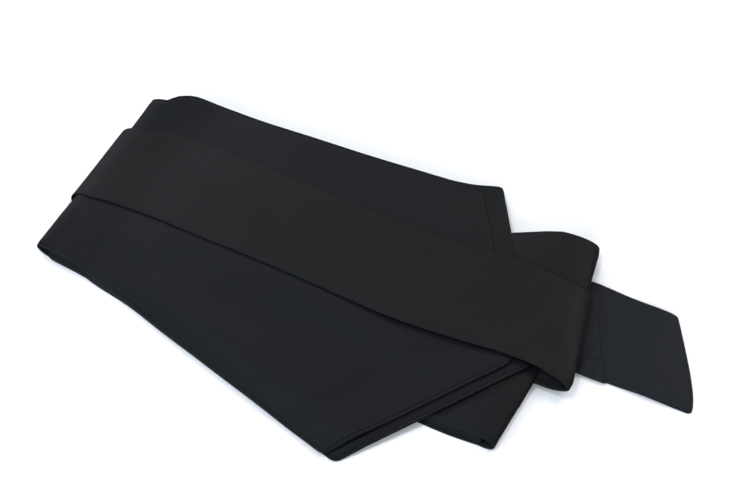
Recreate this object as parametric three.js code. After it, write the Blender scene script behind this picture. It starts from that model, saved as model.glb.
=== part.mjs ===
import * as THREE from 'three';
import { mergeVertices } from 'three/addons/utils/BufferGeometryUtils.js';

// A black satin waist sash: a shaped panel with a pointed end each way and a long tie at each
// point. It is folded once at the middle of the panel, with the ties wound and folded under it
// and one tie laid over it, and it lies flat.
// Millimetres, +Z up. While it is laid out, x runs along the panel from its fold to its points,
// y runs across it, and z = 0 is the surface that it lies on. The last lines centre it.

// Cloth. Both walls are double: the satin is sewn face to face and turned out.
const PANEL_WALL = 1.6;
const TIE_WALL = 1.2;
const GAP = 0.3;

// How finely the cloth is divided along it, across it and round a bend.
const STEP_LENGTH = 12;
const PANEL_COLUMNS = 18;
const TIE_COLUMNS = 8;
const FLAT_TIE_COLUMNS = 6;
const HIDDEN_COLUMNS = 14;
const BEND_STEPS = 8;

// The panel's fold: the cloth rolls over from x = FOLD_REACH to x = 0 and back.
const FOLD_REACH = 7;

// The panel is at its widest here, and its two slanted edges meet at a point beyond.
const WIDEST = 250;

// Half-widths of the panel's upper leaf on its near and far sides, from the fold to the point.
const UPPER_LEAF = [
  { x: 7, near: 73.6, far: 74 },
  { x: 11, near: 73.4, far: 78 },
  { x: 18, near: 73.6, far: 82 },
  { x: 30, near: 74.6, far: 86.5 },
  { x: 53, near: 80, far: 90 },
  { x: 80, near: 83.8, far: 93 },
  { x: 162, near: 98.6, far: 103 },
  { x: 250, near: 114.9, far: 117.6 },
  { x: 253, near: 115.6, far: 115.2 },
  { x: 257, near: 116, far: 109.5 },
  { x: 260, near: 113, far: 105 },
  { x: 297, near: 60, far: 52.6 },
  { x: 331, near: 5.5, far: 3 },
  { x: 333.5, near: 3.5, far: 0.5 },
];

// The same for the lower leaf, which was folded a little longer and turned towards the far side.
const LOWER_LEAF = [
  { x: 7.3, near: 75.6, far: 73 },
  { x: 17, near: 78.4, far: 80 },
  { x: 35, near: 77.4, far: 85 },
  { x: 53, near: 79, far: 88 },
  { x: 80, near: 82.5, far: 91 },
  { x: 162, near: 97.5, far: 102 },
  { x: 240, near: 111.6, far: 118.6 },
  { x: 261, near: 115.5, far: 126.4 },
  { x: 265, near: 116, far: 125.4 },
  { x: 269, near: 113, far: 120 },
  { x: 343, near: 2, far: 10.5 },
  { x: 346, near: -1.5, far: 6.5 },
];

// Height of the heap that the lower leaf lies on. A row is a section at x, and each column a
// place across it, as a share of the upper leaf's half-width there, which is WIDEST's past that.
const ACROSS = { nearEdge: -1, nearRest: -0.86, nearSlope: -0.62, middle: 0, farSlope: 0.55, farEdge: 1 };
const HEAP = [
  { x: 0, nearEdge: 0.8, nearRest: 1, nearSlope: 1.5, middle: 1.5, farSlope: 1.6, farEdge: 3 },
  { x: 34, nearEdge: 0.4, nearRest: 0.7, nearSlope: 1.5, middle: 1.8, farSlope: 2.4, farEdge: 4.6 },
  { x: 75, nearEdge: 0, nearRest: 0.1, nearSlope: 2.2, middle: 4.6, farSlope: 5.4, farEdge: 6.6 },
  { x: 130, nearEdge: 0, nearRest: 0.1, nearSlope: 2.8, middle: 5.8, farSlope: 6.6, farEdge: 6.8 },
  { x: 200, nearEdge: 0, nearRest: 0.1, nearSlope: 3, middle: 6.4, farSlope: 7.2, farEdge: 6.4 },
  { x: 260, nearEdge: 0, nearRest: 0.3, nearSlope: 3.2, middle: 7.6, farSlope: 8.2, farEdge: 5.6 },
  { x: 310, nearEdge: 0.8, nearRest: 2, nearSlope: 4.6, middle: 8.8, farSlope: 9, farEdge: 6.4 },
  { x: 350, nearEdge: 2, nearRest: 4, nearSlope: 7.6, middle: 9.6, farSlope: 9.6, farEdge: 7 },
];

// How far the two leaves stand apart beside the fold, across it and then along it.
const FOLD_PUFF = [
  { across: -1, lift: 3.4 },
  { across: -0.5, lift: 2.8 },
  { across: 0, lift: 2.4 },
  { across: 0.5, lift: 3.2 },
  { across: 1, lift: 6.2 },
];
const PUFF_SHARE = [
  { x: 7, share: 1 },
  { x: 16, share: 0.96 },
  { x: 32, share: 0.6 },
  { x: 48, share: 0.2 },
  { x: 66, share: 0 },
];

// Near and far edges of the tie that is laid over the panel.
const TIE_OVER = [
  { x: 7, near: -27, far: 43 },
  { x: 16, near: -23.8, far: 48 },
  { x: 27, near: -21.8, far: 51.4 },
  { x: 41, near: -19.4, far: 53.8 },
  { x: 60, near: -17.8, far: 56 },
  { x: 95, near: -16.8, far: 57.8 },
  { x: 140, near: -14.2, far: 58.4 },
  { x: 190, near: -12, far: 60.4 },
  { x: 240, near: -10.2, far: 64 },
  { x: 270, near: -7.4, far: 67.2 },
  { x: 300, near: -3, far: 71.6 },
  { x: 325, near: 0.6, far: 74 },
  { x: 350, near: 0.8, far: 73.8 },
  { x: 370, near: -1.4, far: 72 },
];
// It wraps round the panel's fold and goes on under it, turning towards the near side.
const WRAP = { nearShift: -9, farShift: -12, nearBulge: 0, farBulge: 2.4, underLength: 25, underTurn: -8 };
// Its other end bends down in a soft loop and returns under itself.
const LOOP = { nearX: 369, farX: 352, bulge: 7, nearReturn: 16, farReturn: 2, steps: 4 };
const LOOP_RETURN = [
  { share: 0, bottom: 1.4, shift: 1 },
  { share: 0.24, bottom: 3, shift: 0 },
  { share: 1, bottom: 3.3, shift: -4 },
];

// Hidden stretches of both ties under the panel, as one solid. It narrows to cornerShare of its
// width at each end, over cornerFold at the panel's fold and cornerPoint towards its point.
const HIDDEN = {
  start: 33.2,
  end: 281,
  nearShare: -0.74,
  farShare: 0.965,
  edgeDrop: 0.2,
  cornerShare: 0.72,
  cornerFold: 24,
  cornerPoint: 40,
};
// Its layers on the far side: the height of each one's top, and how far its edge is drawn in.
const HIDDEN_LAYERS = [
  { top: 0.26, inset: 2 },
  { top: 0.5, inset: 0 },
  { top: 0.76, inset: 3.4 },
  { top: 1, inset: 1.2 },
];

// Ties folded back on themselves beside the panel. A row is a section of the upper ply.
const NEAR_FOLD = {
  bulge: 4.4,
  top: [
    { x: 284, near: -62.5, far: 8, nearTop: 2.8, farTop: 4.6 },
    { x: 302, near: -60.6, far: 10, nearTop: 4, farTop: 5.2 },
    { x: 325, near: -57.4, far: 12, nearTop: 5.9, farTop: 6.2 },
    { x: 346, near: -56.4, far: 13, nearTop: 6.6, farTop: 6.8 },
  ],
  under: [
    { x: 346, near: -59.6, far: 13, nearTop: 0, farTop: 3.2 },
    { x: 318, near: -63.4, far: 11, nearTop: 0, farTop: 2.4 },
    { x: 284, near: -65.4, far: 8, nearTop: 0, farTop: 0.8 },
  ],
};
const NEAR_FOLD_UPPER = [
  { x: 286, near: -17, far: 30, nearTop: 6.6, farTop: 7.2 },
  { x: 318, near: -20.4, far: 30, nearTop: 7.8, farTop: 8.2 },
  { x: 349, near: -25, far: 6, nearTop: 8.4, farTop: 8.6 },
];
const FAR_LOOP = {
  place: { x: 270, y: 88, turn: 19 },
  bulge: 8,
  top: [
    { x: 15, near: -62, far: 0, nearTop: 7.8, farTop: 5.6 },
    { x: 30, near: -62, far: 1.4, nearTop: 8, farTop: 9.4 },
    { x: 45, near: -58, far: 2.4, nearTop: 8.6, farTop: 14 },
    { x: 58, near: -54, far: 3, nearTop: 9.2, farTop: 16 },
    { x: 68, near: -50, far: 0.4, nearTop: 9.4, farTop: 15 },
  ],
  under: [
    { x: 68, near: -50, far: -4, nearTop: 5.6, farTop: 1 },
    { x: 40, near: -58, far: -3, nearTop: 5, farTop: 1 },
    { x: 15, near: -62, far: -3, nearTop: 4.2, farTop: 1 },
  ],
};

// The two slanted free ends of the ties.
const TAIL_LONG = [
  { x: 330, near: 19, far: 80, nearTop: 1.2, farTop: 1.2 },
  { x: 356, near: 20, far: 89.4, nearTop: 1.2, farTop: 1.2 },
  { x: 384, near: 21.4, far: 89.8, nearTop: 1.2, farTop: 1.2 },
  { x: 412, near: 23.4, far: 91, nearTop: 1.2, farTop: 1.2 },
];
const TAIL_LONG_END = { near: { x: 448, y: 27 }, far: { x: 414, y: 90 }, bow: 3 };
const TAIL_SHORT = [
  { x: 332, near: 17, far: 78, nearTop: 2.7, farTop: 2.7 },
  { x: 357.4, near: 17.4, far: 85, nearTop: 2.7, farTop: 2.7 },
];
const TAIL_SHORT_END = { near: { x: 395.5, y: 19 }, far: { x: 362.5, y: 85 }, bow: 0 };

// Smooth reading of a table: a curve through its rows that doesn't swing past them.
function smoothly(rows, at, column, place) {
  const last = rows.length - 1;
  if (place <= rows[0][at]) return rows[0][column];
  if (place >= rows[last][at]) return rows[last][column];
  const slope = (i) => (rows[i + 1][column] - rows[i][column]) / (rows[i + 1][at] - rows[i][at]);
  const lean = (i) => {
    if (i === 0) return slope(0);
    if (i === last) return slope(last - 1);
    const before = slope(i - 1);
    const after = slope(i);
    return before * after <= 0 ? 0 : (2 * before * after) / (before + after);
  };
  const i = rows.findIndex((row, k) => k < last && place < rows[k + 1][at]);
  const span = rows[i + 1][at] - rows[i][at];
  const t = (place - rows[i][at]) / span;
  const start = rows[i][column] * (1 + 2 * t) * (1 - t) ** 2 + rows[i + 1][column] * t * t * (3 - 2 * t);
  return start + span * (lean(i) * t * (1 - t) ** 2 - lean(i + 1) * t * t * (1 - t));
}

// Straight reading of a table, for the outlines.
function straight(rows, column, x) {
  const last = rows.length - 1;
  if (x <= rows[0].x) return rows[0][column];
  if (x >= rows[last].x) return rows[last][column];
  const i = rows.findIndex((row, k) => k < last && x < rows[k + 1].x);
  const t = (x - rows[i].x) / (rows[i + 1].x - rows[i].x);
  return THREE.MathUtils.lerp(rows[i][column], rows[i + 1][column], t);
}

// Places along a table: every row, with more between rows that are far apart.
function stations(rows) {
  const places = [rows[0].x];
  for (let i = 1; i < rows.length; i += 1) {
    const span = rows[i].x - rows[i - 1].x;
    const parts = Math.ceil(Math.abs(span) / STEP_LENGTH);
    for (let k = 1; k <= parts; k += 1) places.push(rows[i - 1].x + (span * k) / parts);
  }
  return places;
}

// Evenly spaced shares from one edge of a strip to the other.
function shares(count) {
  return Array.from({ length: count + 1 }, (_, i) => i / count);
}

// Heights of the cloth that is piled up.
function shareAcross(x, y) {
  return y / straight(UPPER_LEAF, y < 0 ? 'near' : 'far', Math.min(x, WIDEST));
}

function heapTop(x, y) {
  const section = Object.entries(ACROSS).map(([column, across]) => ({
    across,
    height: smoothly(HEAP, 'x', column, x),
  }));
  return smoothly(section, 'across', 'height', shareAcross(x, y));
}

function lowerLeafTop(x, y) {
  return heapTop(x, y) + PANEL_WALL;
}

function upperLeafTop(x, y) {
  const lift = smoothly(FOLD_PUFF, 'across', 'lift', shareAcross(x, y));
  return lowerLeafTop(x, y) + GAP + PANEL_WALL + lift * smoothly(PUFF_SHARE, 'x', 'share', x);
}

// One closed body from two grids of points: the cloth's outer face and its inner face.
function clothBody(name, material, outer, inner) {
  const rows = outer.length;
  const columns = outer[0].length;
  const positions = [...outer.flat(), ...inner.flat()].flatMap((point) => point.toArray());
  const face = rows * columns;
  const index = [];
  const quad = (a, b, c, d) => index.push(a, b, c, a, c, d);
  const at = (i, j, side) => side * face + i * columns + j;
  for (let i = 0; i < rows - 1; i += 1) {
    for (let j = 0; j < columns - 1; j += 1) {
      quad(at(i, j, 0), at(i + 1, j, 0), at(i + 1, j + 1, 0), at(i, j + 1, 0));
      quad(at(i, j, 1), at(i, j + 1, 1), at(i + 1, j + 1, 1), at(i + 1, j, 1));
    }
    quad(at(i, 0, 0), at(i, 0, 1), at(i + 1, 0, 1), at(i + 1, 0, 0));
    quad(at(i, columns - 1, 0), at(i + 1, columns - 1, 0), at(i + 1, columns - 1, 1), at(i, columns - 1, 1));
  }
  for (let j = 0; j < columns - 1; j += 1) {
    quad(at(0, j, 0), at(0, j + 1, 0), at(0, j + 1, 1), at(0, j, 1));
    quad(at(rows - 1, j, 0), at(rows - 1, j, 1), at(rows - 1, j + 1, 1), at(rows - 1, j + 1, 0));
  }
  const geometry = new THREE.BufferGeometry();
  geometry.setAttribute('position', new THREE.Float32BufferAttribute(positions, 3));
  geometry.setIndex(index);
  const mesh = new THREE.Mesh(facingOut(mergeVertices(geometry, 1e-3)), material);
  mesh.name = name;
  return mesh;
}

// Turns every face round if the body's volume comes out negative.
function facingOut(geometry) {
  const a = new THREE.Vector3();
  const b = new THREE.Vector3();
  const c = new THREE.Vector3();
  const { position } = geometry.attributes;
  const { array } = geometry.index;
  let volume = 0;
  for (let i = 0; i < array.length; i += 3) {
    a.fromBufferAttribute(position, array[i]);
    b.fromBufferAttribute(position, array[i + 1]);
    c.fromBufferAttribute(position, array[i + 2]);
    volume += a.dot(b.cross(c));
  }
  if (volume < 0) {
    for (let i = 0; i < array.length; i += 3) [array[i], array[i + 1]] = [array[i + 1], array[i]];
  }
  geometry.computeVertexNormals();
  return geometry;
}

// A strip is described column by column: path(share) lists the pairs of an outer and an inner
// point that the cloth passes through at that share of its width.
function stripBody(name, material, count, path) {
  const lines = shares(count).map(path);
  return clothBody(
    name,
    material,
    lines.map((line) => line.map((pair) => pair.outer)),
    lines.map((line) => line.map((pair) => pair.inner)),
  );
}

// Half a turn from one point to another that lies above or below it, bulging along x.
function bend(from, to, bulge, wall) {
  const middle = from.clone().add(to).multiplyScalar(0.5);
  const half = from.clone().sub(middle);
  const kept = 1 - wall / Math.abs(half.z);
  const pairs = [];
  for (let i = 1; i < BEND_STEPS; i += 1) {
    const angle = Math.PI / 2 - (Math.PI * i) / BEND_STEPS;
    const side = new THREE.Vector3(Math.cos(angle), 0, 0);
    pairs.push({
      outer: middle.clone().addScaledVector(half, Math.sin(angle)).addScaledVector(side, bulge),
      inner: middle
        .clone()
        .addScaledVector(half, Math.sin(angle) * kept)
        .addScaledVector(side, bulge - Math.sign(bulge) * wall),
    });
  }
  return pairs;
}

function pair(x, y, outerHeight, innerHeight) {
  return { outer: new THREE.Vector3(x, y, outerHeight), inner: new THREE.Vector3(x, y, innerHeight) };
}

// Materials
const panelSatin = new THREE.MeshStandardMaterial({ color: '#24272b', roughness: 0.5, metalness: 0 });
const tieSatin = new THREE.MeshStandardMaterial({ color: '#26282a', roughness: 0.5, metalness: 0 });
const innerSatin = new THREE.MeshStandardMaterial({ color: '#1d1f22', roughness: 0.6, metalness: 0 });

// The panel's upper leaf, with the fold that carries it round to the lower one.
function upperLeaf() {
  return stripBody('panel_upper_leaf', panelSatin, PANEL_COLUMNS, (share) => {
    const across = share * 2 - 1;
    const widthAt = (x) => across * straight(UPPER_LEAF, across < 0 ? 'near' : 'far', x);
    const flat = stations(UPPER_LEAF).map((x) => {
      const top = upperLeafTop(x, widthAt(x));
      return pair(x, widthAt(x), top, top - PANEL_WALL);
    });
    const start = flat[0].outer;
    const bottom = new THREE.Vector3(FOLD_REACH, start.y, heapTop(FOLD_REACH, start.y));
    const roll = bend(start, bottom, -FOLD_REACH, PANEL_WALL);
    const end = pair(bottom.x, bottom.y, bottom.z, bottom.z + PANEL_WALL);
    return [...flat.reverse(), ...roll, end];
  });
}

function lowerLeaf() {
  return stripBody('panel_lower_leaf', panelSatin, PANEL_COLUMNS, (share) => {
    const across = share * 2 - 1;
    return stations(LOWER_LEAF).map((x) => {
      const near = -straight(LOWER_LEAF, 'near', x);
      const far = straight(LOWER_LEAF, 'far', x);
      const y = across < 0 ? Math.max(near, -across * near) : across * far;
      const place = near > 0 ? THREE.MathUtils.lerp(near, far, share) : y;
      return pair(x, place, lowerLeafTop(x, place), heapTop(x, place));
    });
  });
}

// The tie that wraps round the fold, crosses the panel and bends back in a loop.
function tieOver() {
  const lift = GAP + TIE_WALL;
  return stripBody('tie_over', tieSatin, TIE_COLUMNS, (share) => {
    const loopX = THREE.MathUtils.lerp(LOOP.nearX, LOOP.farX, share);
    const shared = stations(TIE_OVER.slice(0, -2));
    const last = shared[shared.length - 1];
    const towardsLoop = shares(LOOP.steps).slice(1).map((part) => THREE.MathUtils.lerp(last, loopX, part));
    const over = [...shared, ...towardsLoop].map((x) => {
      const near = smoothly(TIE_OVER, 'x', 'near', x);
      const y = THREE.MathUtils.lerp(near, smoothly(TIE_OVER, 'x', 'far', x), share);
      const top = upperLeafTop(x, y) + lift;
      return pair(x, y, top, top - TIE_WALL);
    });
    const start = over[0].outer;
    const wrapShift = THREE.MathUtils.lerp(WRAP.nearShift, WRAP.farShift, share);
    const wrapEnd = new THREE.Vector3(FOLD_REACH, start.y + wrapShift, 0);
    const wrapBulge = FOLD_REACH + lift + THREE.MathUtils.lerp(WRAP.nearBulge, WRAP.farBulge, share);
    const wrap = bend(start, wrapEnd, -wrapBulge, TIE_WALL);
    const under = shares(2).map((part) => pair(
      FOLD_REACH + part * WRAP.underLength,
      wrapEnd.y + part * WRAP.underTurn,
      0,
      TIE_WALL,
    ));
    const finish = over[over.length - 1].outer;
    const bottom = smoothly(LOOP_RETURN, 'share', 'bottom', share);
    const shift = smoothly(LOOP_RETURN, 'share', 'shift', share);
    const loopEnd = new THREE.Vector3(loopX, finish.y + shift, bottom);
    const loop = bend(finish, loopEnd, LOOP.bulge, TIE_WALL);
    const back = shares(2).map((part) => {
      const x = loopX - part * THREE.MathUtils.lerp(LOOP.nearReturn, LOOP.farReturn, share);
      return pair(x, loopEnd.y, bottom, bottom + TIE_WALL);
    });
    return [...under.reverse(), ...wrap.reverse(), ...over, ...loop, ...back];
  });
}

// A section of a tie from its table row, at a share of its width. Its height is its outer face.
function tieRow(rows, x, share, inward) {
  const near = smoothly(rows, 'x', 'near', x);
  const far = smoothly(rows, 'x', 'far', x);
  const nearTop = smoothly(rows, 'x', 'nearTop', x);
  const height = THREE.MathUtils.lerp(nearTop, smoothly(rows, 'x', 'farTop', x), share);
  return pair(x, THREE.MathUtils.lerp(near, far, share), height, height + inward);
}

// A tie that runs out over itself: an upper ply, a bend and an under ply.
function foldedTie(name, shape) {
  const under = [...shape.under].reverse();
  return stripBody(name, tieSatin, TIE_COLUMNS, (share) => {
    const out = stations(shape.top).map((x) => tieRow(shape.top, x, share, -TIE_WALL));
    const back = stations(under).map((x) => tieRow(under, x, share, TIE_WALL)).reverse();
    const turn = bend(out[out.length - 1].outer, back[0].outer, shape.bulge, TIE_WALL);
    return [...out, ...turn, ...back];
  });
}

// A flat stretch of a tie, with a slanted end where one is given.
function flatTie(name, rows, end) {
  return stripBody(name, tieSatin, FLAT_TIE_COLUMNS, (share) => {
    const line = stations(rows).map((x) => tieRow(rows, x, share, -TIE_WALL));
    if (!end) return line;
    const last = line[line.length - 1].outer;
    const x = THREE.MathUtils.lerp(end.near.x, end.far.x, share) + end.bow * Math.sin(Math.PI * share);
    const y = THREE.MathUtils.lerp(end.near.y, end.far.y, share);
    const slant = shares(3).slice(1).map((part) => pair(
      THREE.MathUtils.lerp(last.x, x, part),
      THREE.MathUtils.lerp(last.y, y, part),
      last.z,
      last.z - TIE_WALL,
    ));
    return [...line, ...slant];
  });
}

// The hidden layers: a solid with a flat underside, stepped like stacked cloth on its far side.
function hiddenLayers() {
  const sections = stations([{ x: HIDDEN.start }, { x: HIDDEN.end }]).map((x) => {
    const toCorner = Math.min((x - HIDDEN.start) / HIDDEN.cornerFold, (HIDDEN.end - x) / HIDDEN.cornerPoint, 1);
    const narrowed = THREE.MathUtils.lerp(HIDDEN.cornerShare, 1, toCorner);
    const half = (side) => straight(UPPER_LEAF, side, Math.min(x, WIDEST)) * narrowed;
    const near = HIDDEN.nearShare * half('near');
    const far = HIDDEN.farShare * half('far');
    const top = shares(HIDDEN_COLUMNS).map((share) => {
      const y = THREE.MathUtils.lerp(near, far, share);
      return new THREE.Vector3(x, y, heapTop(x, y) - GAP - HIDDEN.edgeDrop * (2 * share - 1) ** 2);
    });
    const rim = top[top.length - 1];
    const steps = [...HIDDEN_LAYERS].reverse().flatMap((layer, k, list) => {
      const floor = k + 1 < list.length ? list[k + 1].top : 0;
      const y = rim.y - layer.inset;
      return [new THREE.Vector3(x, y, rim.z * layer.top), new THREE.Vector3(x, y, rim.z * floor)];
    });
    return [...top.slice(0, -1), ...steps, new THREE.Vector3(x, near, 0)];
  });
  return ringBody('hidden_layers', innerSatin, sections);
}

// One closed body through sections with the same number of points, capped at both ends.
function ringBody(name, material, sections) {
  const count = sections[0].length;
  const positions = sections.flat().flatMap((point) => point.toArray());
  const index = [];
  for (let i = 0; i < sections.length - 1; i += 1) {
    for (let j = 0; j < count; j += 1) {
      const next = (j + 1) % count;
      const a = i * count + j;
      const b = i * count + next;
      index.push(a, b + count, b, a, a + count, b + count);
    }
  }
  const cap = (section, offset, facing) => {
    const outline = section.map((point) => new THREE.Vector2(point.y, point.z));
    for (const [a, b, c] of THREE.ShapeUtils.triangulateShape(outline, [])) {
      const turn = THREE.ShapeUtils.area([outline[a], outline[b], outline[c]]) * facing;
      index.push(offset + a, offset + (turn > 0 ? b : c), offset + (turn > 0 ? c : b));
    }
  };
  cap(sections[0], 0, -1);
  cap(sections[sections.length - 1], (sections.length - 1) * count, 1);
  const geometry = new THREE.BufferGeometry();
  geometry.setAttribute('position', new THREE.Float32BufferAttribute(positions, 3));
  geometry.setIndex(index);
  const mesh = new THREE.Mesh(facingOut(mergeVertices(geometry, 1e-3)), material);
  mesh.name = name;
  return mesh;
}

const laidOut = new THREE.Group();
const farLoop = foldedTie('tie_far_loop', FAR_LOOP);
farLoop.position.set(FAR_LOOP.place.x, FAR_LOOP.place.y, 0);
farLoop.rotation.z = THREE.MathUtils.degToRad(FAR_LOOP.place.turn);
laidOut.add(
  upperLeaf(),
  lowerLeaf(),
  hiddenLayers(),
  tieOver(),
  foldedTie('tie_near_fold', NEAR_FOLD),
  flatTie('tie_near_fold_upper', NEAR_FOLD_UPPER),
  farLoop,
  flatTie('tail_long', TAIL_LONG, TAIL_LONG_END),
  flatTie('tail_short', TAIL_SHORT, TAIL_SHORT_END),
);

// The finished sash stands with the middle of its footprint on the origin.
const box = new THREE.Box3().setFromObject(laidOut, true);
laidOut.position.set(-(box.min.x + box.max.x) / 2, -(box.min.y + box.max.y) / 2, 0);
const sash = new THREE.Group();
sash.add(laidOut);

export default sash;
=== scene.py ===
import math
from collections import namedtuple

import bmesh
import bpy
from mathutils import Matrix, Vector


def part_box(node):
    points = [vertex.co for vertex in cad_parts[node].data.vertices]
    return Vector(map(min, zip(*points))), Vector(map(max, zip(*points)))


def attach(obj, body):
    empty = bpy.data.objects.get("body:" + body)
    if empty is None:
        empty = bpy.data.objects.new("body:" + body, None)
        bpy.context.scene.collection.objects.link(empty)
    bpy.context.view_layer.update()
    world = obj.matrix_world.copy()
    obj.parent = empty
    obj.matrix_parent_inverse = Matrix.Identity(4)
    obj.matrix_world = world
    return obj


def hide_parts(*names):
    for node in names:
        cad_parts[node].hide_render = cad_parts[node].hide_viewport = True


# A black satin waist sash, folded flat on a white floor. Every piece is a thin, double sheet of
# satin, laid on the form of the solid that it replaces.

bl_info = {
    "name": "Satin Sash",
    "version": (1, 0, 0),
    "blender": (4, 5, 0),
    "location": "3D View > Sidebar > Sash",
    "description": "Makes a black satin waist sash, folded flat, with its ties wound round it",
    "category": "Add Mesh",
}

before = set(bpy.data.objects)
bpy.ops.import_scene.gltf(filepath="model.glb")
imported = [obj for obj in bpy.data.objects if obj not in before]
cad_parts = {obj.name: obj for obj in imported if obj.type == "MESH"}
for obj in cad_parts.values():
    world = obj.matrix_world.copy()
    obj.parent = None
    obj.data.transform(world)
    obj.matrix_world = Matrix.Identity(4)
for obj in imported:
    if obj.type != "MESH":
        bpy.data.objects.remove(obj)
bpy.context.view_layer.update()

# Sizes in the tables are millimetres, laid out from the middle of the panel's fold: x runs
# along the panel to its point, y across it to its far side, and z up from the floor.
MM = 0.001
WIDEST_NEAR = 116
FOLD_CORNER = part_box("panel_upper_leaf")[0]
LAID_OUT = Vector((FOLD_CORNER.x, FOLD_CORNER.y + WIDEST_NEAR * MM, 0))

# The walls of the solids, whose top faces the cloth follows, and the gap between them.
PANEL_WALL = 1.6
TIE_WALL = 1.2
GAP = 0.3

# Where the rim rows of a sheet lie, as distances from its edge, and how far past the solid's edge
# the sheet reaches, because it thins out there.
RIM = (0, 0.1, 0.28, 0.55, 0.95, 1.45, 2, 2.55, 3.2, 4.2, 6)
PAST = 0.8

# An edge rounds off within this many walls of it, to this share of the wall. Stitching draws the
# cloth in over this half-width.
SOFT_EDGE = 0.8
THINNEST = 0.06
SEAM_WIDTH = 0.6

Edges = namedtuple("Edges", "x near far")
Leaf = namedtuple("Leaf", "sides near_corner tip far_corner")
Spot = namedtuple("Spot", "x y")

# Half-widths of the panel's leaves on the near and far side, and the corners of their points.
UPPER_LEAF = Leaf(
    sides=(
        Edges(7, 73.6, 70),
        Edges(11, 73.4, 73.4),
        Edges(18, 73.6, 82.4),
        Edges(30, 74.6, 89),
        Edges(53, 79, 91.6),
        Edges(80, 82, 93.6),
        Edges(120, 90, 98.6),
        Edges(162, 97.8, 103.8),
        Edges(251.2, 115.1, 117.8),
        Edges(257.8, 116.3, 118.9),
    ),
    near_corner=Spot(257.8, -116.3),
    tip=Spot(334.9, -1.4),
    far_corner=Spot(251.2, 117.8),
)
LOWER_LEAF = Leaf(
    sides=(
        Edges(7, 73.6, 70),
        Edges(17, 77.2, 78),
        Edges(35, 77.4, 85),
        Edges(53, 78.4, 88),
        Edges(80, 81.8, 91),
        Edges(162, 97.5, 102),
        Edges(240, 111.6, 118.6),
        Edges(262.7, 115.9, 128),
        Edges(266.6, 116.5, 129.2),
    ),
    near_corner=Spot(266.6, -116.5),
    tip=Spot(347.2, 4.3),
    far_corner=Spot(262.7, 128),
)

# The roll that joins the leaves: where it starts, how far its near end is tucked in and lifted,
# and how far its far end slips nearer.
FOLD_REACH = 12
FOLD_TUCK = 2
FOLD_LIFT = 2
FOLD_SLIP = -3

# Radii of the corners of the leaves, of their points and of the ties' ends.
CORNER_ROUND = 4
TIP_ROUND = 2
TAIL_ROUND = 2.2

# Height of the heap that the lower leaf lies on, at places across it that are shares of the
# upper leaf's half-width.
Across = namedtuple("Across", "share height")
Section = namedtuple("Section", "x near_edge near_rest near_slope middle far_slope far_edge")
ACROSS = Section(None, -1, -0.86, -0.62, 0, 0.55, 1)
HEAP = (
    Section(0, 0.8, 1, 1.5, 1.5, 1.6, 3),
    Section(34, 0.4, 0.7, 1.5, 1.8, 2.4, 4.6),
    Section(75, 0, 1.6, 2.7, 4.6, 5.4, 6.6),
    Section(130, 0, 2.2, 3.5, 5.8, 6.6, 6.8),
    Section(200, 0, 2.4, 3.9, 6.4, 7.2, 6.4),
    Section(260, 0, 2.6, 4.1, 7.6, 8.2, 5.6),
    Section(310, 0.8, 3.2, 5, 8.8, 9, 6.4),
    Section(350, 2, 4, 7.6, 9.6, 9.6, 7),
)

# Past this place the shares are those of the half-width here.
HEAP_WIDEST = 250

# How far the leaves stand apart beside the fold, across it and then along it.
FOLD_PUFF = (
    Across(-1, 3.4),
    Across(-0.5, 2.8),
    Across(0, 2.4),
    Across(0.5, 3.2),
    Across(1, 6.2),
)
Fading = namedtuple("Fading", "x share")
PUFF_FADES = (Fading(7, 1), Fading(16, 0.96), Fading(32, 0.6), Fading(48, 0.2), Fading(66, 0))

# How far the upper leaf's near edge rolls down, along the panel, and how steeply.
Rolled = namedtuple("Rolled", "x drop")
ROLLED_EDGE = (
    Rolled(7, 1.2),
    Rolled(18, 3),
    Rolled(34, 3.4),
    Rolled(60, 2.6),
    Rolled(90, 1.9),
    Rolled(130, 1.2),
    Rolled(180, 0.4),
    Rolled(230, 0),
)
ROLLED_SLOPE = 1.1

# Soft troughs and ridges in the panel and in the tie over it: a run from one place to another,
# with a width and a depth that is negative for a trough. It grows over a share of its run at
# each end.
CREASE_GROWS = 0.4
Crease = namedtuple("Crease", "start end width depth")
PANEL_CREASES = (
    Crease(Spot(110, -46), Spot(300, -38), 13, -1.3),
    Crease(Spot(40, -57), Spot(350, -110), 14, 2),
    Crease(Spot(186, -173), Spot(362, 85), 13, -1.1),
    Crease(Spot(270, -30), Spot(322, -26), 9, 0.5),
    Crease(Spot(150, 82), Spot(236, 92), 10, -0.3),
    Crease(Spot(40, 72), Spot(120, 84), 9, 0.3),
    Crease(Spot(30, -52), Spot(96, -58), 12, -0.3),
)
BAND_CREASES = (
    Crease(Spot(60, 30), Spot(150, 26), 16, 0.25),
    Crease(Spot(180, 20), Spot(300, 30), 14, -0.3),
    Crease(Spot(318, 8), Spot(336, 66), 8, -0.25),
    Crease(Spot(378, -80), Spot(338, 160), 22, -1.4),
    Crease(Spot(180, -12), Spot(380, 0), 16, 1.5),
)

# The tie that lies over the panel: its edges, and where they stop bending.
BAND = (
    Edges(7, -25.4, 40),
    Edges(16, -21.8, 45.6),
    Edges(27, -19.4, 50.2),
    Edges(41, -17.2, 53.2),
    Edges(60, -15.6, 55.6),
    Edges(95, -14.4, 57.6),
    Edges(140, -12, 58.4),
    Edges(190, -10.2, 60.4),
    Edges(240, -9.8, 64),
    Edges(270, -7.2, 67.2),
    Edges(300, -2.4, 71.6),
    Edges(325, 1.4, 74),
    Edges(350, 3.8, 73.8),
    Edges(370, 1.8, 72),
)
BAND_STRAIGHT = 325

# How it wraps the fold: its shift under it, its bulge round it, and its run on the floor.
Wrap = namedtuple("Wrap", "near_shift far_shift bulge far_bulge under under_turn")
WRAP = Wrap(near_shift=-9, far_shift=-12, bulge=1, far_bulge=1.6, under=25, under_turn=-8)

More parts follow.
